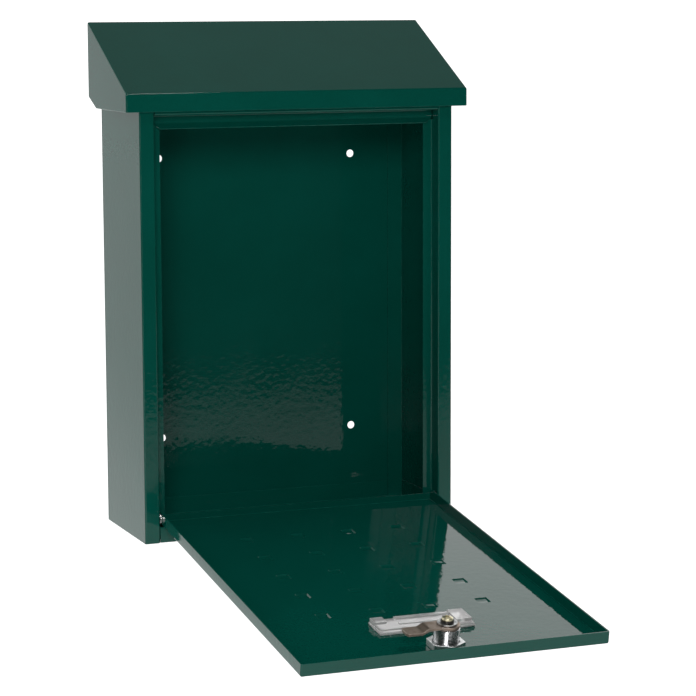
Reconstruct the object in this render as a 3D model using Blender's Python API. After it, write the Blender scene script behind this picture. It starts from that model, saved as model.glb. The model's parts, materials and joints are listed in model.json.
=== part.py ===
"""Wall mounted mailbox of folded sheet steel, with its door down and its posting lid shut.

Metres. X runs across the box, the front faces -Y and the wall is the plane y = 0. The origin is
the centre of the four wall screw holes, on the rear face of the back panel.
"""

import math

import bmesh
import bpy
from mathutils import Matrix, Vector

# ---------------------------------------------------------------- driving dimensions
SHEET = 0.0010            # thickness of every folded sheet
GAP = 0.0003              # between two pieces that touch
FOLD_R = 0.0013           # outside radius of a fold
EDGE_R = 0.00025          # rounding that the paint leaves on a cut edge
SMALL_EDGE_R = 0.0002     # rounding of the unpainted pieces' edges

BODY_W = 0.250
BODY_D = 0.100
RAIL_TOP = 0.331          # heights are taken from the underside of the box
BACK_TOP = 0.3715

HOLE_R = 0.0030           # wall screw holes
HOLE_DX = 0.160
HOLE_DZ = 0.220
LOWER_HOLES = 0.0615
UNDERSIDE = -(LOWER_HOLES + HOLE_DZ / 2)

OPENING_W = 0.227
OPENING_TOP = 0.3195
REBATE_D = 0.012          # from the front face back to the door stops
STOP_W = 0.0075
STOP_DROP = 0.0058        # flat part of the top rail's stop
LIP_RUN = 0.0042          # the rail's lip flares forward and down by this much
LIP_END_CUT = 0.0066
SILL_H = 0.012            # front flange of the bottom panel
TRAY_H = 0.014            # side and rear flanges of the bottom panel
REAR_FLANGE = 0.013

LID_W = 0.272
LID_FRONT = 0.1038        # distance of the lip from the wall
LID_BACK = 0.0045         # distance of the ridge from the wall
RIDGE_H = 0.387
EAVE_H = 0.3358
LIP_H = 0.0135
CHEEK_REAR_H = 0.3305
CHEEK_CUT = 0.020
LID_PIVOT_ALONG = 0.010   # from the ridge down the slope
LID_PIVOT_BELOW = 0.0045  # under the top face of the roof
ROD_R = 0.0015
ROD_END = 0.0025          # beyond the sides
ROD_HOLE_R = 0.0018
ROD_MARGIN = 0.0011       # of sheet round the rod's hole
CAP_R = 0.0031
CAP_H = 0.0018
EAR_HOLE_R = 0.0019
EAR_R = 0.0050
LID_RANGE = math.radians(70)

DOOR_W = 0.223
DOOR_L = 0.306
DOOR_RIM = 0.009
DOOR_HINGE_RIM = 0.006
HINGE_RIM_RUN = 0.003     # the side rims are as low as that for this far
DOOR_TILT = math.radians(8)   # the open door slopes down this far from level
PIVOT_IN = 0.0045             # pivot axis behind the closed door's face
PIVOT_UP = 0.0050             # pivot axis above the closed door's lower end
PIVOT_H = 0.0176
PIN_R = 0.0022
PIN_HOLE_R = 0.0027
PIN_END = 0.1190
WASHER_R = 0.0042

STUD_SIZE = 0.010         # pressed squares on the door
STUD_SLOPE = 0.0008
STUD_RISE = 0.0009
STUD_DX = 0.040
STUD_DY = 0.039
STUD_COLUMNS = 4
STUD_ROWS = 5
STUD_FIRST = 0.0560       # first row from the hinge end

PLATE_AT = 0.2450         # name plate holder's centre from the hinge end
PLATE_X = -0.0005
PLATE_W = 0.070
PLATE_D = 0.022
PLATE_T = 0.0014          # its base
WINDOW_W = 0.064
WINDOW_D = 0.0175
RAIL_START = 0.0175       # the card rails begin this far from the holder's left end
RAIL_W = 0.0035
RAIL_H = 0.0028
STEP_W = 0.0115           # block at the right end, stepped down at the front
STEP_H = 0.0036
STEP_FRONT = 0.0035
CLIP_W = 0.0090           # block at the left end
CLIP_H = 0.0032

LOCK_AT = 0.2845          # lock axis from the hinge end
BARREL_R = 0.0090
BARREL_TOP = 0.0145       # above the door's inner face
BARREL_BEVEL = 0.0004
BEZEL_R = 0.0112
BEZEL_H = 0.0022
BEZEL_BEVEL = 0.0011
PLUG_R = 0.0056
PLUG_HOLE_R = 0.0060
PLUG_SUNK = 0.0002        # behind the front of the bezel
KEY_SLOT_L = 0.0072
KEY_SLOT_W = 0.0012
KEY_SLOT_DEPTH = 0.0060
NUT_AF = 0.0230
NUT_H = 0.0046
NUT_CHAMFER = 0.0004
CAM_T = 0.0020
CAM_R = 0.0088
CAM_REACH = 0.031
CAM_W = 0.0125
CAM_CORNER_R = 0.0028
CAM_STEP = 0.0024         # the cam's tip is joggled towards the door by this much
STEP_START = -0.0145
STEP_END = -0.0205
SQUARE = 0.0060
CAM_WASHER_R = 0.0070
CAM_WASHER_T = 0.0009
SPRING_R = 0.0046
SPRING_T = 0.0011
SCREW_R = 0.0018
SCREW_HEAD_R = 0.0039
SCREW_HEAD_H = 0.0023
SCREW_DEPTH = 0.0050      # below the end of the barrel
SCREW_BORE = 0.0090       # from the square's end down into the plug
CROSS_ARM = 0.0021
CROSS_W = 0.0009
CROSS_DEPTH = 0.0013

# ---------------------------------------------------------------- worked out from them
HALF_W = BODY_W / 2
HALF_OPENING = OPENING_W / 2
FRONT = -BODY_D
STOP_Y = FRONT + REBATE_D
HALF_LID = LID_W / 2
HALF_DOOR = DOOR_W / 2
ROOF_FALL = Vector((0, LID_BACK - LID_FRONT, EAVE_H - RIDGE_H)).normalized()
ROOF_DOWN = Vector((0, -ROOF_FALL.z, ROOF_FALL.y))
ROOF_ANGLE = math.atan2(ROOF_FALL.z, ROOF_FALL.y) + math.pi


def at_height(height):
    """World Z of a height above the underside of the box."""
    return UNDERSIDE + height


RIDGE = Vector((0, -LID_BACK, at_height(RIDGE_H)))
LID_PIVOT = RIDGE + ROOF_FALL * LID_PIVOT_ALONG + ROOF_DOWN * LID_PIVOT_BELOW
DOOR_PIVOT = Vector((0, FRONT + PIVOT_IN, at_height(PIVOT_H)))


# ---------------------------------------------------------------- tools
def clear_scene():
    for obj in list(bpy.data.objects):
        bpy.data.objects.remove(obj, do_unlink=True)


def make_material(name, colour, roughness, metallic=0.0, transmission=0.0):
    material = bpy.data.materials.new(name)
    material.use_nodes = True
    shader = material.node_tree.nodes["Principled BSDF"]
    shader.inputs["Base Color"].default_value = (*colour, 1.0)
    shader.inputs["Roughness"].default_value = roughness
    shader.inputs["Metallic"].default_value = metallic
    shader.inputs["Transmission Weight"].default_value = transmission
    return material


def add_object(name, bm, material, parent=None, location=(0, 0, 0), rotation=(0, 0, 0)):
    mesh = bpy.data.meshes.new(name)
    bm.to_mesh(mesh)
    bm.free()
    obj = bpy.data.objects.new(name, mesh)
    bpy.context.scene.collection.objects.link(obj)
    if material is not None:
        mesh.materials.append(material)
    obj.parent = parent
    obj.location = location
    obj.rotation_euler = rotation
    return obj


def add_axis(name, location, rotation=(0, 0, 0), parent=None):
    axis = bpy.data.objects.new(name, None)
    axis.empty_display_size = 0.01
    axis.location = location
    axis.rotation_euler = rotation
    axis.parent = parent
    bpy.context.scene.collection.objects.link(axis)
    return axis


def surface(faces, outward):
    """Open surface from corner lists, joined where faces share an edge; the first faces outward."""
    bm = bmesh.new()
    for corners in faces:
        bm.faces.new([bm.verts.new(corner) for corner in corners])
    bmesh.ops.remove_doubles(bm, verts=bm.verts, dist=1e-6)
    bmesh.ops.recalc_face_normals(bm, faces=bm.faces)
    bm.faces.ensure_lookup_table()
    bm.normal_update()
    if bm.faces[0].normal.dot(Vector(outward)) < 0:
        bmesh.ops.reverse_faces(bm, faces=bm.faces)
    return bm


def fold_edges(bm, least_angle=math.radians(35)):
    bm.normal_update()
    return [e for e in bm.edges if len(e.link_faces) == 2 and e.calc_face_angle() > least_angle]


def folded_sheet(name, bm, material, segments=3, **place):
    """Turns an open surface, the outer face of the sheet, into a folded sheet with round folds."""
    bmesh.ops.bevel(
        bm, geom=fold_edges(bm), offset=FOLD_R, segments=segments, profile=0.5, affect="EDGES"
    )
    return thicken(add_object(name, bm, material, **place))


def thicken(obj):
    sheet = obj.modifiers.new("sheet", "SOLIDIFY")
    sheet.thickness = SHEET
    sheet.offset = -1.0
    sheet.use_even_offset = True
    return obj


def round_edges(obj, width=EDGE_R, segments=1, angle=math.radians(50)):
    rounding = obj.modifiers.new("edges", "BEVEL")
    rounding.width = width
    rounding.segments = segments
    rounding.limit_method = "ANGLE"
    rounding.angle_limit = angle
    return obj


def box_mesh(low, high):
    bm = bmesh.new()
    bmesh.ops.create_cube(bm, size=1.0)
    size = Vector(high) - Vector(low)
    middle = (Vector(high) + Vector(low)) / 2
    bmesh.ops.scale(bm, vec=size, verts=bm.verts)
    bmesh.ops.translate(bm, vec=middle, verts=bm.verts)
    return bm


def prism_mesh(outline, low, high):
    """Upright prism over a closed XY outline, from one Z to another."""
    bm = bmesh.new()
    face = bm.faces.new([bm.verts.new((x, y, low)) for x, y in outline])
    top = bmesh.ops.extrude_face_region(bm, geom=[face])
    verts = [v for v in top["geom"] if isinstance(v, bmesh.types.BMVert)]
    bmesh.ops.translate(bm, vec=(0, 0, high - low), verts=verts)
    bmesh.ops.recalc_face_normals(bm, faces=bm.faces)
    return bm


def arc(centre, radius, start, end, steps):
    """Points of an arc about a 2-D centre, its ends included, with the angles in degrees."""
    angles = [math.radians(start + (end - start) * i / steps) for i in range(steps + 1)]
    return [(centre[0] + radius * math.cos(a), centre[1] + radius * math.sin(a)) for a in angles]


def turned_mesh(profile, steps=40):
    """Solid of revolution about Z from a closed outline of (radius, z) points."""
    bm = bmesh.new()
    points = [bm.verts.new((radius, 0, z)) for radius, z in profile]
    edges = [bm.edges.new((a, b)) for a, b in zip(points, points[1:] + points[:1])]
    bmesh.ops.spin(
        bm, geom=points + edges, cent=(0, 0, 0), axis=(0, 0, 1), angle=math.tau, steps=steps
    )
    bmesh.ops.remove_doubles(bm, verts=bm.verts, dist=1e-7)
    bmesh.ops.dissolve_degenerate(bm, edges=bm.edges, dist=1e-7)
    bmesh.ops.recalc_face_normals(bm, faces=bm.faces)
    return bm


def along_x(bm):
    """Turns a mesh made about Z so that its axis lies along X."""
    bmesh.ops.rotate(bm, cent=(0, 0, 0), matrix=Matrix.Rotation(math.pi / 2, 3, "Y"), verts=bm.verts)
    return bm


def shade_round(obj):
    obj.data.shade_smooth()
    obj.data.set_sharp_from_angle(angle=math.radians(35))
    return obj


def boolean(target, tool_mesh, operation="DIFFERENCE", **place):
    """Cuts a mesh from the target, or fuses it on; the tool stays in the file as a wire."""
    tool = add_object(f"{target.name}_tool{len(target.modifiers)}", tool_mesh, None, **place)
    tool.hide_render = True
    tool.display_type = "WIRE"
    modifier = target.modifiers.new("tool", "BOOLEAN")
    modifier.operation = operation
    modifier.object = tool
    return target


def hole_tool(radius, depth, steps=32):
    return turned_mesh([(0, -depth / 2), (radius, -depth / 2), (radius, depth / 2), (0, depth / 2)], steps)


# ---------------------------------------------------------------- box
def back_panel(paint):
    half = HALF_W - EDGE_R
    low, high = at_height(0), at_height(BACK_TOP)
    panel = add_object("back_panel", box_mesh((-half, -SHEET, low), (half, 0, high)), paint)
    for x in (-HOLE_DX / 2, HOLE_DX / 2):
        for z in (-HOLE_DZ / 2, HOLE_DZ / 2):
            turn = (math.pi / 2, 0, 0)
            boolean(panel, hole_tool(HOLE_R, 4 * SHEET), location=(x, 0, z), rotation=turn)
    return round_edges(panel)


def side_top_outline(rear):
    """The side's top edge as (y, height) points: up beneath the roof, round the rod, down behind."""
    pivot = (LID_PIVOT.y, LID_PIVOT.z - UNDERSIDE)
    ear = ROD_HOLE_R + ROD_MARGIN
    roof_normal = 90 - math.degrees(ROOF_ANGLE)
    lifted_normal = roof_normal - math.degrees(LID_RANGE)
    return [(FRONT, RAIL_TOP)] + arc(pivot, ear, roof_normal, lifted_normal, 6) + [(rear, BACK_TOP)]


def side_panel(name, side, paint):
    """Side wall with its rear flange, and with the front flange, rebate and door stop in one piece."""
    rear = -SHEET - GAP
    wall, jamb = side * HALF_W, side * HALF_OPENING
    stop_edge = side * (HALF_OPENING - STOP_W)
    stop_foot = SHEET + GAP
    stop_top = OPENING_TOP - STOP_DROP - 2 * SHEET
    flange_edge = side * (HALF_W - REAR_FLANGE)
    side_wall = [(wall, rear, at_height(0)), (wall, FRONT, at_height(0))]
    side_wall += [(wall, y, at_height(h)) for y, h in side_top_outline(rear)]
    faces = [
        side_wall,
        corner_strip((wall, FRONT), (jamb, FRONT), 0, RAIL_TOP),
        [
            (jamb, FRONT, at_height(0)),
            (jamb, STOP_Y, at_height(0)),
            (jamb, STOP_Y, at_height(stop_foot)),
            (jamb, STOP_Y, at_height(stop_top)),
            (jamb, STOP_Y, at_height(RAIL_TOP)),
            (jamb, FRONT, at_height(RAIL_TOP)),
        ],
        corner_strip((jamb, STOP_Y), (stop_edge, STOP_Y), stop_foot, stop_top),
        corner_strip((wall, rear), (flange_edge, rear), 0, BACK_TOP),
    ]
    panel = folded_sheet(name, surface(faces, (side, 0, 0)), paint)
    turn = (0, math.pi / 2, 0)
    rod_at = (wall, LID_PIVOT.y, LID_PIVOT.z)
    pin_at = (jamb, DOOR_PIVOT.y, DOOR_PIVOT.z)
    boolean(panel, hole_tool(ROD_HOLE_R, 4 * SHEET, 20), location=rod_at, rotation=turn)
    boolean(panel, hole_tool(PIN_HOLE_R, 4 * SHEET, 24), location=pin_at, rotation=turn)
    return round_edges(panel)


def corner_strip(start, end, low, high):
    """Upright rectangle between two plan points, from one height to another."""
    return [
        (*start, at_height(low)),
        (*end, at_height(low)),
        (*end, at_height(high)),
        (*start, at_height(high)),
    ]


def bottom_panel(paint):
    """Floor with a sill at the front and spot-weld flanges at the sides and rear."""
    narrow = HALF_OPENING - GAP
    wide = HALF_W - SHEET - GAP
    rear = -2 * (SHEET + GAP)
    notch = STOP_Y + SHEET + GAP
    relief = 3 * SHEET
    floor_z = at_height(0)
    floor = [
        (-narrow, FRONT, floor_z),
        (narrow, FRONT, floor_z),
        (narrow, notch, floor_z),
        (wide, notch, floor_z),
        (wide, notch + relief, floor_z),
        (wide, rear - relief, floor_z),
        (wide, rear, floor_z),
        (wide - REAR_FLANGE, rear, floor_z),
        (REAR_FLANGE - wide, rear, floor_z),
        (-wide, rear, floor_z),
        (-wide, rear - relief, floor_z),
        (-wide, notch + relief, floor_z),
        (-wide, notch, floor_z),
        (-narrow, notch, floor_z),
    ]
    faces = [
        floor,
        corner_strip((-narrow, FRONT), (narrow, FRONT), 0, SILL_H),
        corner_strip((wide, notch + relief), (wide, rear - relief), 0, TRAY_H),
        corner_strip((-wide, notch + relief), (-wide, rear - relief), 0, TRAY_H),
        corner_strip((wide - REAR_FLANGE, rear), (REAR_FLANGE - wide, rear), 0, TRAY_H),
    ]
    return round_edges(folded_sheet("bottom_panel", surface(faces, (0, 0, -1)), paint))


def cross_strip(start, end, half_start, half_end):
    """Rectangle or trapezium across the box between two (y, height) points."""
    return [
        (-half_start, start[0], at_height(start[1])),
        (half_start, start[0], at_height(start[1])),
        (half_end, end[0], at_height(end[1])),
        (-half_end, end[0], at_height(end[1])),
    ]


def top_rail(paint):
    """Rail between the sides over the door: front face, rebate, door stop and a flared lip."""
    half = HALF_OPENING - GAP
    stop_low = OPENING_TOP - STOP_DROP
    path = [
        (STOP_Y + 2 * SHEET, RAIL_TOP),
        (FRONT, RAIL_TOP),
        (FRONT, OPENING_TOP),
        (STOP_Y, OPENING_TOP),
        (STOP_Y, stop_low),
        (STOP_Y - LIP_RUN, stop_low - LIP_RUN),
    ]
    halves = [half] * (len(path) - 1) + [half - LIP_END_CUT]
    faces = [
        cross_strip(path[i], path[i + 1], halves[i], halves[i + 1]) for i in range(len(path) - 1)
    ]
    return round_edges(folded_sheet("top_rail", surface(faces, (0, 0, 1)), paint))


# ---------------------------------------------------------------- posting lid
def lid(paint, axis):
    """Sloping roof with its two cheeks and the front lip, folded from one sheet."""
    ridge = (-LID_BACK, RIDGE_H)
    eave = (-LID_FRONT, EAVE_H)
    lip = (-LID_FRONT, EAVE_H - LIP_H)
    faces = [cross_strip(ridge, eave, HALF_LID, HALF_LID), cross_strip(eave, lip, HALF_LID, HALF_LID)]
    for x in (-HALF_LID, HALF_LID):
        outline = [ridge, eave, lip, (-LID_BACK - CHEEK_CUT, lip[1]), (-LID_BACK, CHEEK_REAR_H)]
        faces.append([(x, y, at_height(h)) for y, h in outline])
    bm = surface(faces, (0, 0, 1))
    bmesh.ops.translate(bm, vec=-LID_PIVOT, verts=bm.verts)
    return round_edges(folded_sheet("lid", bm, paint, segments=4, parent=axis))


def lid_ear(name, side, paint, axis):
    """Hinge ear under the roof: a flange against the sheet and a plate with the rod's hole."""
    outer = side * (HALF_W - SHEET - 2 * GAP)
    inner = side * (HALF_W - SHEET - REAR_FLANGE)
    top = LID_PIVOT_BELOW - SHEET - GAP
    plate = [(outer, -EAR_R, top), (outer, EAR_R, top)]
    plate += [(outer, y, z) for y, z in arc((0, 0), EAR_R, 0, -180, 12)]
    flange = [
        (outer, -EAR_R, top),
        (outer, EAR_R, top),
        (inner, EAR_R, top),
        (inner, -EAR_R, top),
    ]
    bm = surface([plate, flange], (side, 0, 0))
    ear = folded_sheet(name, bm, paint, parent=axis, rotation=(ROOF_ANGLE, 0, 0))
    place = {"location": (outer, 0, 0), "rotation": (0, math.pi / 2, 0), "parent": axis}
    return boolean(ear, hole_tool(EAR_HOLE_R, 4 * SHEET, 24), **place)


def hinge_rod(steel):
    end = HALF_W + ROD_END
    profile = [(0, -end), (ROD_R - EDGE_R, -end), (ROD_R, -end + EDGE_R)]
    profile += [(ROD_R, end - EDGE_R), (ROD_R - EDGE_R, end), (0, end)]
    rod = add_object("hinge_rod", along_x(turned_mesh(profile, 20)), steel, location=LID_PIVOT)
    return shade_round(rod)


def rod_cap(name, side, steel):
    """Domed push-on cap that keeps the rod in the side."""
    near, far, edge = HALF_W + GAP, HALF_W + CAP_H, CAP_R
    profile = [(ROD_HOLE_R, near), (edge, near), (edge, near + SHEET / 2)]
    profile += [(ROD_HOLE_R + SHEET / 2, far), (ROD_HOLE_R, far)]
    bm = turned_mesh([(radius, side * x) for radius, x in profile], 24)
    return shade_round(add_object(name, along_x(bm), steel, location=LID_PIVOT))


# ---------------------------------------------------------------- door, in the frame of its pivot axis
def from_hinge_end(distance):
    """Y in the door's frame of a distance from the door's hinge end."""
    return PIVOT_UP - distance


def stud_lines(centres):
    """Grid lines through the foot and the top of each pressed square."""
    half = STUD_SIZE / 2
    steps = (-half, STUD_SLOPE - half, half - STUD_SLOPE, half)
    return [centre + step for centre in centres for step in steps]


def door_surface():
    """Outer face of the door's sheet: the panel with its pressed squares and the rims round it."""
    face_z = -PIVOT_IN
    middle = (STUD_COLUMNS - 1) / 2
    columns = [(i - middle) * STUD_DX for i in range(STUD_COLUMNS)]
    rows = [from_hinge_end(STUD_FIRST + i * STUD_DY) for i in range(STUD_ROWS)]
    end, hinge_end, shoulder = from_hinge_end(DOOR_L), from_hinge_end(0), from_hinge_end(HINGE_RIM_RUN)
    xs = sorted([-HALF_DOOR, HALF_DOOR] + stud_lines(columns))
    ys = sorted([end, shoulder, hinge_end] + stud_lines(rows))
    half_top = STUD_SIZE / 2 - STUD_SLOPE + 1e-6

    def height(x, y):
        raised = any(abs(x - c) < half_top for c in columns) and any(abs(y - r) < half_top for r in rows)
        return face_z - (STUD_RISE if raised else 0)

    def rim_top(y):
        return face_z + (DOOR_HINGE_RIM if y > shoulder + 1e-6 else DOOR_RIM)

    faces = []
    for x0, x1 in zip(xs, xs[1:]):
        for y0, y1 in zip(ys, ys[1:]):
            faces.append([(x, y, height(x, y)) for x, y in ((x0, y0), (x0, y1), (x1, y1), (x1, y0))])
        for y in (end, hinge_end):
            faces.append([(x0, y, face_z), (x1, y, face_z), (x1, y, rim_top(y)), (x0, y, rim_top(y))])
    for y0, y1 in zip(ys, ys[1:]):
        for x in (-HALF_DOOR, HALF_DOOR):
            faces.append([(x, y0, face_z), (x, y1, face_z), (x, y1, rim_top(y1)), (x, y0, rim_top(y0))])
    return surface(faces, (0, 0, -1))


def fold_edges_of_door(bm):
    """The folds round the panel and up the four corners, without the edges of the pressed squares."""
    square_folds = fold_edges(bm, math.radians(80))
    return [e for e in square_folds if min(v.co.z for v in e.verts) > -PIVOT_IN - 1e-6]


def door_panel(paint, axis):
    bm = door_surface()
    bmesh.ops.bevel(
        bm, geom=fold_edges_of_door(bm), offset=FOLD_R, segments=3, profile=0.5, affect="EDGES"
    )
    bmesh.ops.dissolve_limit(
        bm, angle_limit=math.radians(0.5), verts=bm.verts, edges=bm.edges, use_dissolve_boundaries=False
    )
    panel = thicken(add_object("door_panel", bm, paint, parent=axis))
    boolean(panel, plate_window(0, -PIVOT_IN - SHEET, -PIVOT_IN + 2 * SHEET), parent=axis)
    lock_hole = hole_tool(BARREL_R + GAP, 4 * SHEET, 40)
    boolean(panel, lock_hole, parent=axis, location=(0, from_hinge_end(LOCK_AT), -PIVOT_IN))
    return round_edges(panel)


def door_pin(name, side, steel, axis):
    """Pivot pin welded to the outside of the door's rim; it turns in the jamb's hole."""
    near, far = HALF_DOOR + GAP, PIN_END
    profile = [(0, near), (PIN_R, near), (PIN_R, far - EDGE_R), (PIN_R - EDGE_R, far), (0, far)]
    bm = turned_mesh([(radius, side * x) for radius, x in profile], 24)
    return shade_round(add_object(name, along_x(bm), steel, parent=axis))


def door_washer(name, side, steel):
    """Spacer on the pin, between the door's rim and the jamb."""
    near, far = HALF_DOOR + GAP, HALF_OPENING - GAP
    profile = [(PIN_HOLE_R, near), (WASHER_R, near), (WASHER_R, far), (PIN_HOLE_R, far)]
    bm = turned_mesh([(radius, side * x) for radius, x in profile], 28)
    return shade_round(add_object(name, along_x(bm), steel, location=DOOR_PIVOT))


def plate_window(inset, low, high):
    """Block that fills the name plate's window, less an inset all round."""
    y = from_hinge_end(PLATE_AT)
    half_w, half_d = WINDOW_W / 2 - inset, WINDOW_D / 2 - inset
    return box_mesh((PLATE_X - half_w, y - half_d, low), (PLATE_X + half_w, y + half_d, high))


def name_plate_holder(plastic, axis):
    """Clear moulding clipped in the door's window: base, pane, card rails, and a block at each end."""
    foot = SHEET - PIVOT_IN + GAP
    deck = foot + PLATE_T
    sunk = deck - PLATE_T / 3
    left, right = PLATE_X - PLATE_W / 2, PLATE_X + PLATE_W / 2
    rear = from_hinge_end(PLATE_AT - PLATE_D / 2)
    front = from_hinge_end(PLATE_AT + PLATE_D / 2)
    inset = SHEET
    rails = left + RAIL_START, right - inset - STEP_W / 2
    shelf_rear, shelf_front = rear - inset, front + STEP_FRONT
    middle = (shelf_rear + shelf_front) / 2
    holder = add_object(
        "name_plate_holder", box_mesh((left, front, foot), (right, rear, deck)), plastic, parent=axis
    )
    boolean(holder, plate_window(GAP, -PIVOT_IN, foot + PLATE_T / 3), "UNION", parent=axis)
    clip = left + inset / 2
    step = right - inset - STEP_W
    pieces = [
        ((left + inset, shelf_front, sunk), (rails[1], shelf_rear, deck + PLATE_T)),
        ((rails[0], shelf_rear - RAIL_W, deck), (rails[1], shelf_rear - EDGE_R, deck + RAIL_H)),
        ((rails[0], middle - RAIL_W, deck), (rails[1], middle, deck + RAIL_H - inset / 2)),
        ((clip, middle, sunk), (clip + CLIP_W, shelf_rear + EDGE_R, deck + CLIP_H)),
        ((step, shelf_front, sunk), (right - inset, rear - inset / 2, deck + STEP_H)),
        ((step, front + EDGE_R, sunk), (right - inset / 2, rear - EDGE_R, deck + STEP_H / 3)),
    ]
    for low, high in pieces:
        boolean(holder, box_mesh(low, high), "UNION", parent=axis)
    return round_edges(holder, width=SMALL_EDGE_R)


# ---------------------------------------------------------------- cam lock, in the frame of its own axis
def lock_body(chrome, axis):
    """Barrel through the door with the bezel that bears on the door's outer face."""
    under_bezel = -SHEET - GAP
    front = under_bezel - BEZEL_H
    profile = [
        (PLUG_HOLE_R, front),
        (BEZEL_R - BEZEL_BEVEL, front),
        (BEZEL_R, front + BEZEL_BEVEL),
        (BEZEL_R, under_bezel),
        (BARREL_R, under_bezel),
        (BARREL_R, BARREL_TOP - BARREL_BEVEL),
        (BARREL_R - BARREL_BEVEL, BARREL_TOP),
        (PLUG_HOLE_R, BARREL_TOP),
    ]
    return shade_round(add_object("lock_body", turned_mesh(profile, 48), chrome, parent=axis))


def lock_nut(chrome, axis):
    """Thin hexagon nut with a corner towards the door's free edge."""
    corner = NUT_AF / math.sqrt(3)
    outline = [
        (corner * math.cos(math.radians(30 + 60 * i)), corner * math.sin(math.radians(30 + 60 * i)))
        for i in range(6)
    ]
    nut = add_object("lock_nut", prism_mesh(outline, GAP, GAP + NUT_H), chrome, parent=axis)
    profile = [
        (0, GAP - SHEET),
        (corner + SHEET, GAP - SHEET),
        (corner + SHEET, GAP + NUT_H - 2 * NUT_CHAMFER),
        (corner - NUT_CHAMFER, GAP + NUT_H + EDGE_R / 2),
        (0, GAP + NUT_H + EDGE_R / 2),
    ]
    boolean(nut, turned_mesh(profile, 48), "INTERSECT", parent=axis)
    boolean(nut, hole_tool(BARREL_R + GAP, 4 * NUT_H, 48), parent=axis)
    return round_edges(nut, width=SMALL_EDGE_R)


def lock_plug(chrome, axis):
    """Turning core with the key slot at the front and the square that drives the cam at the back."""
    front = -SHEET - GAP - BEZEL_H + PLUG_SUNK
    profile = [
        (0, front),
        (PLUG_R - EDGE_R, front),
        (PLUG_R, front + EDGE_R),
        (PLUG_R, BARREL_TOP),
        (0, BARREL_TOP),
    ]
    plug = shade_round(add_object("lock_plug", turned_mesh(profile, 40), chrome, parent=axis))
    half, tail = SQUARE / 2, BARREL_TOP + GAP + CAM_T
    boolean(plug, box_mesh((-half, -half, BARREL_TOP - SHEET), (half, half, tail)), "UNION", parent=axis)
    slot_low = (-KEY_SLOT_W / 2, -KEY_SLOT_L / 2, front - SHEET)
    slot_high = (KEY_SLOT_W / 2, KEY_SLOT_L / 2, front + KEY_SLOT_DEPTH)
    boolean(plug, box_mesh(slot_low, slot_high), parent=axis)
    boolean(plug, hole_tool(SCREW_R + GAP, 2 * SCREW_BORE, 20), parent=axis, location=(0, 0, tail))
    return plug


def cam_outline():
    """Round end about the axis and a blunt arm along -X, anticlockwise from the arm's lower root."""
    half, corner = CAM_W / 2, CAM_CORNER_R
    root = math.degrees(math.asin(half / CAM_R))
    outline = arc((0, 0), CAM_R, root - 180, 180 - root, 28)
    outline += arc((corner - CAM_REACH, half - corner), corner, 90, 180, 4)
    outline += arc((corner - CAM_REACH, corner - half), corner, 180, 270, 4)
    return outline


def lock_cam(bronze, axis):
    """Flat cam whose arm steps towards the door; the arm's tip catches behind the top rail's stop."""
    low = BARREL_TOP + GAP
    bm = prism_mesh(cam_outline(), low, low + CAM_T)
    cuts = 8
    for i in range(cuts + 1):
        geometry = list(bm.verts) + list(bm.edges) + list(bm.faces)
        x = STEP_START + (STEP_END - STEP_START) * i / cuts
        bmesh.ops.bisect_plane(bm, geom=geometry, plane_co=(x, 0, 0), plane_no=(1, 0, 0))
    for vert in bm.verts:
        share = min(max((STEP_START - vert.co.x) / (STEP_START - STEP_END), 0.0), 1.0)
        vert.co.z -= CAM_STEP * (1 - math.cos(math.pi * share)) / 2
    cam = add_object("lock_cam", bm, bronze, parent=axis)
    half = SQUARE / 2 + GAP
    boolean(cam, box_mesh((-half, -half, low - SHEET), (half, half, low + 2 * CAM_T)), parent=axis)
    return round_edges(cam, width=SMALL_EDGE_R)


def ring(name, steel, axis, inner, outer, low, high, slit=0.0):
    profile = [(inner, low), (outer, low), (outer, high), (inner, high)]
    washer = shade_round(add_object(name, turned_mesh(profile, 36), steel, parent=axis))
    if slit:
        slot_low, slot_high = (0, -slit / 2, low - SHEET), (2 * outer, slit / 2, high + SHEET)
        boolean(washer, box_mesh(slot_low, slot_high), parent=axis)
    return washer


def cam_screw(brass, axis, seat):
    """Pan head screw with a cross recess; its shank goes down into the plug."""
    tip, top = BARREL_TOP - SCREW_DEPTH, seat + SCREW_HEAD_H
    rim = SCREW_HEAD_H / 3
    dome = arc((0, seat + rim), 1.0, 0, 72, 4)
    profile = [(0, tip), (SCREW_R, tip), (SCREW_R, seat), (SCREW_HEAD_R, seat)]
    rise = SCREW_HEAD_H - rim
    profile += [(SCREW_HEAD_R * x, seat + rim + rise * (z - seat - rim)) for x, z in dome]
    profile += [(0, top)]
    screw = shade_round(add_object("cam_screw", turned_mesh(profile, 32), brass, parent=axis))
    half, floor = CROSS_W / 2, top - CROSS_DEPTH
    for turn in (math.radians(20), math.radians(110)):
        slot = box_mesh((-CROSS_ARM, -half, floor), (CROSS_ARM, half, top + SCREW_HEAD_H))
        boolean(screw, slot, parent=axis, rotation=(0, 0, turn))
    return screw


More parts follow.
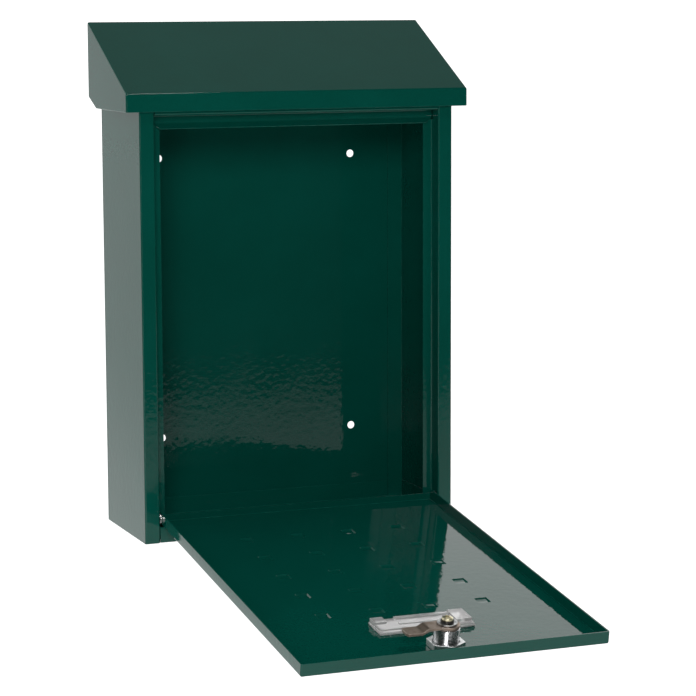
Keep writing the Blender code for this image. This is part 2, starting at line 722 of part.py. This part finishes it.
# ---------------------------------------------------------------- the whole mailbox
def main():
    clear_scene()
    paint = make_material("green_paint", (0.010, 0.110, 0.075), 0.16)
    chrome = make_material("chrome", (0.80, 0.81, 0.82), 0.10, metallic=1.0)
    zinc = make_material("zinc_steel", (0.62, 0.63, 0.62), 0.32, metallic=1.0)
    bronze = make_material("bronzed_steel", (0.30, 0.25, 0.21), 0.38, metallic=1.0)
    brass = make_material("brass", (0.80, 0.69, 0.42), 0.22, metallic=1.0)
    plastic = make_material("clear_plastic", (0.92, 0.93, 0.92), 0.08, transmission=0.9)

    back_panel(paint)
    side_panel("side_panel_left", -1, paint)
    side_panel("side_panel_right", 1, paint)
    bottom_panel(paint)
    top_rail(paint)

    lid_axis = add_axis("lid_axis", LID_PIVOT)
    lid(paint, lid_axis)
    hinge_rod(zinc)

    door_axis = add_axis("door_axis", DOOR_PIVOT, rotation=(DOOR_TILT, 0, 0))
    door_panel(paint, door_axis)
    name_plate_holder(plastic, door_axis)

    for word, side in (("left", -1), ("right", 1)):
        lid_ear(f"lid_ear_{word}", side, paint, lid_axis)
        rod_cap(f"rod_cap_{word}", side, zinc)
        door_pin(f"door_pin_{word}", side, zinc, door_axis)
        door_washer(f"door_washer_{word}", side, zinc)

    lock_place = (0, from_hinge_end(LOCK_AT), SHEET - PIVOT_IN)
    lock_axis = add_axis("lock_axis", lock_place, parent=door_axis)
    lock_body(chrome, lock_axis)
    lock_nut(chrome, lock_axis)
    lock_plug(chrome, lock_axis)
    lock_cam(bronze, lock_axis)
    cam_top = BARREL_TOP + GAP + CAM_T
    washer_top = cam_top + GAP + CAM_WASHER_T
    spring_top = washer_top + GAP + SPRING_T
    ring("cam_washer", zinc, lock_axis, SCREW_R + GAP, CAM_WASHER_R, cam_top + GAP, washer_top)
    ring(
        "cam_spring_washer",
        zinc,
        lock_axis,
        SCREW_R + GAP,
        SPRING_R,
        washer_top + GAP,
        spring_top,
        slit=2 * GAP,
    )
    cam_screw(brass, lock_axis, spring_top + GAP)


main()
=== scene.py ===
"""Looks of the wall mounted mailbox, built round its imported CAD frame.

Metres, in the frame of the CAD: X runs across the box, its front faces -Y, the wall is y = 0.
"""

import json
import math

import bmesh
import bpy
from mathutils import Matrix, Vector

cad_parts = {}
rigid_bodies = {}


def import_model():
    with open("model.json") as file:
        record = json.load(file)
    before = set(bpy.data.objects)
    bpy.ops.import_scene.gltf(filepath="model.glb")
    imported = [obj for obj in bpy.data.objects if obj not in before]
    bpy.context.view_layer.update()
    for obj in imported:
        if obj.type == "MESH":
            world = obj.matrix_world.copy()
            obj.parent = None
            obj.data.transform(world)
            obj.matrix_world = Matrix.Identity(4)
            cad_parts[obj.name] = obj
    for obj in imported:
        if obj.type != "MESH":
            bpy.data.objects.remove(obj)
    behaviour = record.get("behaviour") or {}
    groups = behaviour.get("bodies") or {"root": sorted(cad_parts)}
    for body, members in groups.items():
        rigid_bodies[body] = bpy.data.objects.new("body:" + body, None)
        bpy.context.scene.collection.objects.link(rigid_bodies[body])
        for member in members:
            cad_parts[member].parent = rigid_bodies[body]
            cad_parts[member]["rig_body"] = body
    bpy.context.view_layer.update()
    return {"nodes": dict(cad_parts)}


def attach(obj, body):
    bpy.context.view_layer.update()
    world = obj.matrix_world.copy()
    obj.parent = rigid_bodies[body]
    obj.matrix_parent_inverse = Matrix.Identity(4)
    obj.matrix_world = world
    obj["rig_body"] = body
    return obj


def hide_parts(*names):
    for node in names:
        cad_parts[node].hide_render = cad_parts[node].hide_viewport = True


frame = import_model()

SAME_POINT = 2e-6
NO_LENGTH = 1e-6
WIDE_FOLD = math.radians(50)      # edges sharper than this stay sharp in a folded sheet
CRISP = math.radians(32)          # and this in a machined piece
LEVEL = 0.999                     # a face whose normal has this much Z lies level
FLAT = 0.99999                    # and this much, exactly flat

# The door's own frame at rest: its pivot axis, and the slope at which the open door hangs.
DOOR_SLOPE = math.radians(8)
DOOR_PIVOT = Vector((0, -0.0955, -0.1539))
DOOR_FRAME = Matrix.Translation(DOOR_PIVOT) @ Matrix.Rotation(DOOR_SLOPE, 4, "X")
STUD_COLUMNS = [-0.060, -0.020, 0.020, 0.060]
STUD_ROWS = [-0.051 - 0.039 * row for row in range(5)]
STUD_REACH = 0.0056               # half a pressed square, and a little over
STUD_FLAT = 0.0042                # half of its flat middle
STUD_CROWN = 0.00030              # its ends stand this much above its middle: the punch is crowned
STUD_CUTS = 5
PRESS_ANGLE = math.radians(25)
SHOULDER = 0.00035
FLAT_HALF_W = 0.108               # the door's flat face lies within these
FLAT_START = 0.001
FLAT_END = -0.297
SHEET_PLANES = (-0.0035, -0.0045)  # its inner and outer faces, in its own frame
PRESS_DEPTH = 0.0009
PLANE_REACH = 8e-5                # a corner this near to a plane belongs in it
SAME_PLANE = 2e-6                 # and this near, lies in it
SHEET_MERGE = math.radians(0.4)
THREAD_PITCH = 0.0010
THREAD_DEPTH = 0.00018
WAVES_PER_UNIT = 20 / math.tau    # of a Wave texture at scale 1


# ---------------------------------------------------------------- node helpers
class Nodes:
    """A node tree, and short ways to add to it."""

    def __init__(self, tree):
        self.tree = tree

    def node(self, kind, **settings):
        made = self.tree.nodes.new(kind)
        for key, value in settings.items():
            setattr(made, key, value)
        return made

    def put(self, socket, value):
        """Links an output to a socket, or sets the socket's own value."""
        if isinstance(value, bpy.types.NodeSocket):
            self.tree.links.new(value, socket)
        else:
            socket.default_value = value

    def put_all(self, made, **values):
        """Fills a node's inputs; an underscore in a name stands for a space."""
        for key, value in values.items():
            self.put(made.inputs[key.replace("_", " ")], value)

    def span(self, value, low, high, to_low=0.0, to_high=1.0):
        """Maps low..high of a value to to_low..to_high, smoothly and clamped."""
        made = self.node("ShaderNodeMapRange", interpolation_type="SMOOTHSTEP", clamp=True)
        self.put_all(made, Value=value, From_Min=low, From_Max=high, To_Min=to_low, To_Max=to_high)
        return made.outputs["Result"]

    def join(self, a, b, operation):
        made = self.node("ShaderNodeMath", operation=operation)
        self.put(made.inputs[0], a)
        self.put(made.inputs[1], b)
        return made.outputs[0]

    def sum(self, a, b):
        return self.join(a, b, "ADD")

    def times(self, a, b):
        return self.join(a, b, "MULTIPLY")

    def axes(self, place):
        """The X, Y and Z of a place or a direction."""
        made = self.node("ShaderNodeSeparateXYZ")
        self.put(made.inputs[0], place)
        return made.outputs["X"], made.outputs["Y"], made.outputs["Z"]


class Shader(Nodes):
    """A material's node tree, with a Principled shader at its end."""

    def __init__(self, name):
        self.material = bpy.data.materials.new(name)
        self.material.use_nodes = True
        super().__init__(self.material.node_tree)
        self.out = self.tree.nodes["Principled BSDF"]
        self.place = self.node("ShaderNodeTexCoord").outputs["Object"]

    def final(self, **values):
        """Fills the Principled shader's own sockets."""
        self.put_all(self.out, **values)

    def stretched(self, scale, turn=(0.0, 0.0, 0.0)):
        """Object coordinates stretched along the axes, for brushed or drawn marks, and turned."""
        made = self.node("ShaderNodeMapping")
        self.put_all(made, Vector=self.place, Scale=scale, Rotation=turn)
        return made.outputs["Vector"]

    def noise(self, scale, detail=2.0, roughness=0.5, distortion=0.0, place=None):
        made = self.node("ShaderNodeTexNoise")
        self.put_all(made, Vector=place or self.place, Scale=scale, Detail=detail)
        self.put_all(made, Roughness=roughness, Distortion=distortion)
        return made.outputs["Fac"]

    def cells(self, scale):
        made = self.node("ShaderNodeTexVoronoi", feature="F1")
        self.put_all(made, Vector=self.place, Scale=scale)
        return made.outputs["Distance"]

    def thread(self, pitch, slope):
        """Rounded ridges a pitch apart, round an axis that leans by a slope from Z."""
        made = self.node(
            "ShaderNodeTexWave", wave_type="BANDS", bands_direction="Z", wave_profile="SIN"
        )
        turned = self.stretched((1.0, 1.0, 1.0), (-slope, 0.0, 0.0))
        self.put_all(made, Vector=turned, Scale=1 / WAVES_PER_UNIT / pitch)
        return made.outputs["Fac"]

    def mix(self, share, a, b):
        """Colour a where the share is 0 and b where it is 1."""
        made = self.node("ShaderNodeMix", data_type="RGBA", blend_type="MIX")
        self.put_all(
            made,
            Factor=share,
            A=(*a, 1.0) if isinstance(a, tuple) else a,
            B=(*b, 1.0) if isinstance(b, tuple) else b,
        )
        return made.outputs["Result"]

    def bump(self, height, distance, under=None):
        """Bump of a height that spans 0..1, where 1 stands distance metres proud."""
        made = self.node("ShaderNodeBump")
        self.put_all(made, Strength=1.0, Distance=distance, Height=height)
        if under is not None:
            self.put(made.inputs["Normal"], under)
        return made.outputs["Normal"]

    def edges(self, radius):
        """1 on the rounded corners and folds, 0 on flat faces."""
        bevel = self.node("ShaderNodeBevel", samples=4)
        self.put(bevel.inputs["Radius"], radius)
        dot = self.node("ShaderNodeVectorMath", operation="DOT_PRODUCT")
        self.put(dot.inputs[0], bevel.outputs["Normal"])
        self.put(dot.inputs[1], self.node("ShaderNodeNewGeometry").outputs["Normal"])
        flat, round_corner = 0.999, 0.93
        return self.span(dot.outputs["Value"], flat, round_corner)


# ---------------------------------------------------------------- materials
def green_paint():
    """Glossy powder coat: orange peel, faint mottling, wipe marks, and thin paint on the edges."""
    deep, light = (0.0006, 0.0790, 0.0570), (0.0010, 0.0900, 0.0660)
    speck, worn = (0.0020, 0.1060, 0.0780), (0.030, 0.165, 0.130)
    speck_share, worn_width = 0.25, 0.0007
    wiped_rough, grain_rough, least_rough = 0.05, 0.02, 0.03
    peel_height, fine_height, wave_height = 0.000055, 0.0000060, 0.00014
    s = Shader("green_paint_gloss")
    mottle = s.span(s.noise(9.0, 4.0, 0.6), 0.35, 0.65)
    speckle = s.span(s.noise(900.0, 2.0, 0.5), 0.3, 0.7)
    base = s.mix(mottle, deep, light)
    base = s.mix(s.times(speckle, speck_share), base, speck)
    patchy = s.span(s.noise(160.0, 3.0, 0.6), 0.45, 0.62, 0.05, 0.6)
    base = s.mix(s.times(s.edges(worn_width), patchy), base, worn)
    wiped = s.span(s.noise(14.0, 5.0, 0.62, 0.6), 0.42, 0.72, 0.0, wiped_rough)
    grain = s.span(s.noise(2600.0, 1.0), 0.3, 0.7, 0.0, grain_rough)
    gloss = s.sum(s.sum(wiped, grain), least_rough)
    peel = s.bump(s.noise(230.0, 1.0, 0.45), peel_height)
    peel = s.bump(s.noise(640.0, 1.0, 0.5), fine_height, peel)
    peel = s.bump(s.noise(18.0, 1.0, 0.5), wave_height, peel)
    s.final(Base_Color=base, Roughness=gloss, Normal=peel, IOR=1.43)
    return s.material


def chrome(threaded=False):
    """Bright plating with turning marks and haze, and on the lock's barrel a fine thread."""
    bright, hazy = (0.80, 0.80, 0.82), (0.68, 0.68, 0.69)
    ring_height, ripple_height = 0.00002, 0.000012
    s = Shader("chrome_thread" if threaded else "chrome_plate")
    haze = s.span(s.noise(120.0, 4.0, 0.6), 0.35, 0.7)
    rings = s.noise(560.0, 3.0, 0.6, place=s.stretched((0.05, 0.05, 3.0)))
    tint = s.mix(haze, bright, hazy)
    rough = s.sum(s.span(haze, 0.0, 1.0, 0.08, 0.17), s.span(rings, 0.3, 0.7, 0.0, 0.05))
    normal = s.bump(rings, ring_height)
    normal = s.bump(s.noise(260.0, 2.0), ripple_height, normal)
    if threaded:
        normal = s.bump(s.thread(THREAD_PITCH, DOOR_SLOPE), THREAD_DEPTH, normal)
    s.final(Base_Color=tint, Roughness=rough, Metallic=1.0, Normal=normal)
    return s.material


def satin_nickel():
    """Nut plating: bright but satin, with tumbled edges."""
    bright, dull, rubbed = (0.82, 0.83, 0.83), (0.70, 0.71, 0.71), (0.96, 0.96, 0.96)
    s = Shader("satin_nickel")
    patch = s.span(s.noise(260.0, 4.0, 0.6), 0.35, 0.68)
    tint = s.mix(s.times(s.edges(0.0006), 0.8), s.mix(patch, bright, dull), rubbed)
    rough = s.span(patch, 0.0, 1.0, 0.26, 0.38)
    normal = s.bump(s.noise(500.0, 3.0, 0.6), 0.000020)
    s.final(Base_Color=tint, Roughness=rough, Metallic=1.0, Normal=normal)
    return s.material


def zinc():
    """Zinc plate: pale, satin, with faint crystals and dull patches."""
    pale, dull = (0.60, 0.61, 0.60), (0.44, 0.45, 0.46)
    s = Shader("zinc_plate")
    patch = s.span(s.noise(220.0, 4.0, 0.65), 0.35, 0.65)
    rough = s.span(patch, 0.0, 1.0, 0.24, 0.42)
    normal = s.bump(s.cells(900.0), 0.000010)
    s.final(Base_Color=s.mix(patch, pale, dull), Roughness=rough, Metallic=1.0, Normal=normal)
    return s.material


def bronze():
    """Pressed steel cam with a warm brown plate, rubbed bright at the edges."""
    warm, dark, rubbed = (0.470, 0.370, 0.302), (0.375, 0.288, 0.232), (0.74, 0.66, 0.60)
    s = Shader("bronze_plate")
    patch = s.span(s.noise(150.0, 5.0, 0.62), 0.35, 0.68)
    drawn = s.noise(500.0, 3.0, 0.6, place=s.stretched((0.12, 2.0, 2.0)))
    tint = s.mix(s.times(s.edges(0.0006), 0.7), s.mix(patch, warm, dark), rubbed)
    rough = s.sum(s.span(patch, 0.0, 1.0, 0.34, 0.46), s.span(drawn, 0.3, 0.7, 0.0, 0.08))
    normal = s.bump(drawn, 0.000014)
    s.final(Base_Color=tint, Roughness=rough, Metallic=1.0, Normal=normal)
    return s.material


def brass():
    """Yellow zinc plate on a small screw, with turning marks."""
    yellow, dull = (0.98, 0.90, 0.62), (0.86, 0.78, 0.54)
    s = Shader("yellow_plate")
    patch = s.span(s.noise(420.0, 4.0, 0.6), 0.35, 0.7)
    rough = s.span(patch, 0.0, 1.0, 0.30, 0.42)
    normal = s.bump(s.noise(700.0, 3.0, 0.6), 0.000010)
    s.final(Base_Color=s.mix(patch, yellow, dull), Roughness=rough, Metallic=1.0, Normal=normal)
    return s.material


def dark_steel():
    """Oiled spring steel, nearly black."""
    black, grey = (0.055, 0.052, 0.050), (0.100, 0.092, 0.085)
    s = Shader("dark_spring_steel")
    patch = s.span(s.noise(380.0, 4.0, 0.6), 0.35, 0.68)
    rough = s.span(patch, 0.0, 1.0, 0.30, 0.45)
    normal = s.bump(s.noise(800.0, 3.0), 0.000008)
    s.final(Base_Color=s.mix(patch, black, grey), Roughness=rough, Metallic=1.0, Normal=normal)
    return s.material


def clear_plastic():
    """Clear moulding with flow lines, scuffs, and milky edges."""
    clear, milky = (0.93, 0.92, 0.92), (1.0, 1.0, 0.99)
    most_seen_through, least_seen_through = 0.64, 0.35
    s = Shader("clear_moulding")
    flow = s.noise(60.0, 3.0, 0.55, 0.4, place=s.stretched((0.35, 1.0, 1.0)))
    scuff = s.span(s.noise(330.0, 5.0, 0.7), 0.50, 0.75)
    edge = s.edges(0.0006)
    rough = s.sum(s.span(flow, 0.3, 0.7, 0.08, 0.16), s.times(scuff, 0.20))
    cloud = s.sum(s.times(edge, 0.9), s.times(scuff, 0.3))
    through = s.span(cloud, 0.0, 1.0, most_seen_through, least_seen_through)
    normal = s.bump(flow, 0.00016)
    normal = s.bump(s.noise(450.0, 2.0), 0.000020, normal)
    s.final(Base_Color=s.mix(s.times(edge, 0.8), clear, milky), Roughness=rough, Normal=normal)
    s.final(IOR=1.46, Transmission_Weight=through)
    return s.material


PAINT = green_paint()
CHROME = chrome()
THREAD = chrome(threaded=True)
NICKEL = satin_nickel()
ZINC = zinc()
BRONZE = bronze()
BRASS = brass()
DARK_STEEL = dark_steel()
PLASTIC = clear_plastic()


# ---------------------------------------------------------------- making pieces
def finish_piece(name, bm, material, body, stands_for, sharp, crisp_edges=()):
    """Mesh object from bm, shaded smoothly between sharp edges, riding on its body."""
    mesh = bpy.data.meshes.new(name)
    bm.to_mesh(mesh)
    bm.free()
    for layer in ("custom_normal", "sharp_edge", "sharp_face"):
        if layer in mesh.attributes:
            mesh.attributes.remove(mesh.attributes[layer])
    mesh.materials.clear()
    mesh.materials.append(material)
    mesh.shade_smooth()
    mesh.set_sharp_from_angle(angle=sharp)
    for index in crisp_edges:
        mesh.edges[index].use_edge_sharp = True
    piece = bpy.data.objects.new(name, mesh)
    bpy.context.scene.collection.objects.link(piece)
    weights = piece.modifiers.new("weighted normals", "WEIGHTED_NORMAL")
    weights.keep_sharp = True
    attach(piece, body)
    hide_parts(stands_for)


def cad_shape(node):
    """A CAD node's own shape, with the corners that its triangles share joined up."""
    bm = bmesh.new()
    bm.from_mesh(frame["nodes"][node].data)
    bmesh.ops.remove_doubles(bm, verts=bm.verts, dist=SAME_POINT)
    bmesh.ops.dissolve_degenerate(bm, edges=bm.edges, dist=NO_LENGTH)
    return bm


def smooth_copy(node, material, sharp=CRISP):
    """A piece with the CAD node's exact shape and smoothly shaded folds."""
    body = frame["nodes"][node]["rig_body"]
    finish_piece(node + "_skin", cad_shape(node), material, body, node, sharp)


def stud_centre(verts):
    """Centre of the pressed square that holds all the corners, in the door's frame, if one does."""
    for x in STUD_COLUMNS:
        for y in STUD_ROWS:
            if all(abs(v.co.x - x) < STUD_REACH and abs(v.co.y - y) < STUD_REACH for v in verts):
                return x, y
    return None


def on_flat(vert):
    """Whether a corner lies within the outline of the door's flat face."""
    return abs(vert.co.x) < FLAT_HALF_W and FLAT_END < vert.co.y < FLAT_START


def flatten_sheet(bm):
    """Puts corners that lie a hair off the planes of the sheet's two flat faces back in them."""
    for vert in filter(on_flat, bm.verts):
        for plane in SHEET_PLANES:
            if abs(vert.co.z - plane) < PLANE_REACH:
                vert.co.z = plane


def pressed_edges(bm):
    """The sheet's edges round the foot and the top of each pressed square, on both faces."""
    return [
        edge
        for edge in bm.edges
        if len(edge.link_faces) == 2
        and edge.calc_face_angle() > PRESS_ANGLE
        and stud_centre(edge.verts)
    ]


def is_pressed_flat(face):
    """Whether a face is the flat middle of a pressed square, on either side of the sheet."""
    level = SHEET_PLANES[0 if face.normal.z > 0 else 1] - PRESS_DEPTH
    return (
        abs(face.normal.z) > LEVEL
        and abs(face.calc_center_median().z - level) < PLANE_REACH
        and stud_centre(face.verts) is not None
    )


def edges_of(faces):
    """Each edge of the faces once, in the mesh's own order, which a set would leave to chance."""
    return list(dict.fromkeys(edge for face in faces for edge in face.edges))


def settle_faces(bm):
    """Orders the faces by their corners, since subdividing leaves their order to chance."""
    bm.verts.index_update()
    settled = sorted(bm.faces, key=lambda face: [vert.index for vert in face.verts])
    for index, face in enumerate(settled):
        face.index = index
    bm.faces.sort()


def crown_squares(bm):
    """Bends the flat of each pressed square as a crowned punch leaves it."""
    flats = [face for face in bm.faces if is_pressed_flat(face)]
    edges = edges_of(flats)
    made = bmesh.ops.subdivide_edges(bm, edges=edges, cuts=STUD_CUTS, use_grid_fill=True)
    verts = {item for item in made["geom"] if isinstance(item, bmesh.types.BMVert)}
    verts |= {vert for face in flats if face.is_valid for vert in face.verts}
    for vert in verts:
        centre = stud_centre([vert])
        if centre is not None:
            share = min(abs(vert.co.y - centre[1]) / STUD_FLAT, 1.0)
            vert.co.z += STUD_CROWN * share * share


def refill_flats(bm):
    """Cuts the two flat faces afresh, into clean triangles round squares, window and hole."""
    for plane, up in zip(SHEET_PLANES, (1, -1)):
        flats = [
            face
            for face in bm.faces
            if face.normal.z * up > FLAT
            and all(abs(vert.co.z - plane) < SAME_PLANE for vert in face.verts)
        ]
        chosen = set(flats)
        edges = edges_of(flats)
        inside = [edge for edge in edges if chosen.issuperset(edge.link_faces)]
        border = [edge for edge in edges if not chosen.issuperset(edge.link_faces)]
        bmesh.ops.delete(bm, geom=flats, context="FACES_ONLY")
        bmesh.ops.delete(bm, geom=inside, context="EDGES")
        normal = Vector((0, 0, up))
        made = bmesh.ops.triangle_fill(bm, use_beauty=True, edges=border, normal=normal)
        filled = [item for item in made["geom"] if isinstance(item, bmesh.types.BMFace)]
        for face in filled:
            face.normal_update()
        wrong = [face for face in filled if face.normal.z * up < 0]
        bmesh.ops.reverse_faces(bm, faces=wrong)


def flat_face_edges(bm):
    """Where the door's flat faces meet the squares, the window and the lock's hole."""
    return [
        edge.index
        for edge in bm.edges
        if len(edge.link_faces) == 2
        and all(map(on_flat, edge.verts))
        and len({abs(face.normal.z) > FLAT for face in edge.link_faces}) == 2
    ]


def door_skin():
    """The door's sheet, with the soft shoulders and crowned flats that a press leaves in it."""
    bm = cad_shape("door_panel")
    bm.transform(DOOR_FRAME.inverted())
    flatten_sheet(bm)
    bm.normal_update()
    bmesh.ops.dissolve_limit(bm, angle_limit=SHEET_MERGE, verts=bm.verts, edges=bm.edges)
    bm.normal_update()
    soft = pressed_edges(bm)
    bmesh.ops.bevel(
        bm, geom=soft, offset=SHOULDER, segments=2, profile=0.5, affect="EDGES", clamp_overlap=True
    )
    bm.normal_update()
    crown_squares(bm)
    settle_faces(bm)
    bm.normal_update()
    refill_flats(bm)
    many_sided = [face for face in bm.faces if len(face.verts) > 4]
    bmesh.ops.triangulate(bm, faces=many_sided, ngon_method="BEAUTY")
    bm.normal_update()
    bm.edges.index_update()
    crisp = flat_face_edges(bm)
    bm.transform(DOOR_FRAME)
    finish_piece(
        "door_panel_skin", bm, PAINT, "door", "door_panel", WIDE_FOLD, crisp
    )


for sheet in (
    "back_panel",
    "side_panel_left",
    "side_panel_right",
    "bottom_panel",
    "top_rail",
    "lid",
    "lid_ear_left",
    "lid_ear_right",
):
    smooth_copy(sheet, PAINT, WIDE_FOLD)
door_skin()
for steel in (
    "hinge_rod",
    "rod_cap_left",
    "rod_cap_right",
    "door_pin_left",
    "door_pin_right",
    "door_washer_left",
    "door_washer_right",
    "cam_washer",
):
    smooth_copy(steel, ZINC)
smooth_copy("cam_spring_washer", DARK_STEEL)
smooth_copy("lock_body", THREAD)
smooth_copy("lock_plug", CHROME)
smooth_copy("lock_nut", NICKEL)
smooth_copy("lock_cam", BRONZE)
smooth_copy("cam_screw", BRASS)
smooth_copy("name_plate_holder", PLASTIC)


# ---------------------------------------------------------------- camera, floor and light
CAMERA_PLACE = Vector((-0.6571, -1.8548, 0.2327))
CAMERA_TURN = math.radians(21.62)
CAMERA_TILT = math.radians(-7.983)
CAMERA_ROLL = math.radians(-0.21)
SENSOR_MM = 36.0
IMAGE_PIXELS = 696
FOCAL_PIXELS = 2494.0

FLOOR_Z = -0.75
FLOOR_HALF_W = 6
FLOOR_AHEAD = -4.1
FLOOR_BEHIND = 14
FLOOR_ROUGHNESS = 0.9
# The floor's painted light: emission strengths that make it glow, though it is no lamp.
FLOOR_GLOW = 0.88                 # painted glow, by emission, of the floor behind the box
FLOOR_GLOW_LEFT = 0.36                 # painted glow of the floor behind it and to its left
FLOOR_GLOW_FRONT = 0.28
LEFT_FADE = (-1.6, 0.0)           # metres along X
BEHIND_FADE = (-0.2, 0.9)         # and along Y
FRONT_FADE = (-1.2, -0.2)
FAR_FRONT_FADE = (-4.1, -3.3)

WALL_GLOW = 1.30                  # surroundings behind the box, low down
CEILING_SHARE = 0.155             # and overhead, as a share of that
HORIZON_SHARE = 0.50              # and at the horizon on the left
ROOM_GLOW = 0.02
WALL_FADE = (-0.15, 0.25)         # parts of a direction along Y
CEILING_FADE = (0.45, 0.75)       # along Z
HORIZON_FADE = (0.02, 0.28)
RIGHT_FADE = (-0.25, 0.05)        # along X

SOFTBOXES = {                     # place, what it faces, size, watts
    "key": ((-0.8, -2.3, 0.85), (0, -0.1, 0.0), (0.7, 0.7), 17.8),
    "overhead": ((0.3, -0.9, 2.2), (0, -0.2, 0.0), (0.7, 0.22), 9),
    "strip": ((-0.79, -1.36, -0.30), (0, -0.37, -0.19), (0.16, 0.8), 1.3),
}


def camera():
    """The photograph's view: a long lens from the left of the box and a little above it."""
    sine, cosine = math.sin(CAMERA_TURN), math.cos(CAMERA_TURN)
    level = Vector((cosine, -sine, 0))
    ahead = math.cos(CAMERA_TILT) * Vector((sine, cosine, 0))
    ahead.z = math.sin(CAMERA_TILT)
    above = level.cross(ahead)
    right = math.cos(CAMERA_ROLL) * level + math.sin(CAMERA_ROLL) * above
    up = math.cos(CAMERA_ROLL) * above - math.sin(CAMERA_ROLL) * level
    data = bpy.data.cameras.new("camera")
    data.sensor_width = SENSOR_MM
    data.lens = SENSOR_MM * FOCAL_PIXELS / IMAGE_PIXELS
    made = bpy.data.objects.new("camera", data)
    basis = Matrix((right, up, -ahead)).transposed()
    made.matrix_world = Matrix.Translation(CAMERA_PLACE) @ basis.to_4x4()
    bpy.context.scene.collection.objects.link(made)
    bpy.context.scene.camera = made


def floor():
    """Pale floor well below the box, with painted light: it glows by emission, brightly behind the
    box and dimmer in front and to its left.
    """
    mesh = bpy.data.meshes.new("floor")
    corners = [
        (-FLOOR_HALF_W, FLOOR_AHEAD, FLOOR_Z),
        (FLOOR_HALF_W, FLOOR_AHEAD, FLOOR_Z),
        (FLOOR_HALF_W, FLOOR_BEHIND, FLOOR_Z),
        (-FLOOR_HALF_W, FLOOR_BEHIND, FLOOR_Z),
    ]
    mesh.from_pydata(corners, [], [(0, 1, 2, 3)])
    s = Shader("pale_floor_painted_glow")
    tone = s.mix(s.noise(1.5, 2.0), (0.90, 0.90, 0.90), (0.94, 0.94, 0.94))
    x, y, _ = s.axes(s.place)
    behind = s.times(s.span(x, *LEFT_FADE, FLOOR_GLOW_LEFT, FLOOR_GLOW), s.span(y, *BEHIND_FADE))
    front = s.times(s.span(y, *FRONT_FADE, FLOOR_GLOW_FRONT, 0.0), s.span(y, *FAR_FRONT_FADE))
    s.final(Base_Color=tone, Roughness=FLOOR_ROUGHNESS)
    # Painted light: the floor glows, brightest behind the box and dimmer to its left and in front,
    # and this glow shows in the box's reflections.
    s.final(Emission_Color=(1, 1, 1, 1), Emission_Strength=s.sum(behind, front))
    mesh.materials.append(s.material)
    made = bpy.data.objects.new("floor", mesh)
    bpy.context.scene.collection.objects.link(made)


def studio():
    """White surroundings behind the box that fade overhead, and a dim room behind the camera."""
    world = bpy.data.worlds.new("studio")
    bpy.context.scene.world = world
    world.use_nodes = True
    w = Nodes(world.node_tree)
    x, y, z = w.axes(w.node("ShaderNodeTexCoord").outputs["Generated"])
    overhead = w.span(z, *CEILING_FADE, 1.0, CEILING_SHARE)
    low = w.span(z, *HORIZON_FADE, HORIZON_SHARE, 1.0)
    horizon = w.join(low, w.span(x, *RIGHT_FADE), "MAXIMUM")
    wall = w.times(w.span(y, *WALL_FADE), w.times(overhead, horizon))
    room = w.sum(w.times(wall, WALL_GLOW), ROOM_GLOW)
    seen = w.node("ShaderNodeLightPath").outputs["Is Camera Ray"]
    shade = w.tree.nodes["Background"]
    w.put_all(shade, Color=(1, 1, 1, 1), Strength=w.join(room, seen, "MAXIMUM"))


def softbox(name, place, aim, size, power):
    data = bpy.data.lights.new(name, "AREA")
    data.shape = "RECTANGLE"
    data.size, data.size_y = size
    data.energy = power
    made = bpy.data.objects.new(name, data)
    made.location = place
    made.rotation_euler = (Vector(aim) - Vector(place)).to_track_quat("-Z", "Y").to_euler()
    made.visible_camera = False
    bpy.context.scene.collection.objects.link(made)


camera()
floor()
studio()
for light, facts in SOFTBOXES.items():
    softbox(light, *facts)
bpy.context.scene.view_settings.view_transform = "Standard"
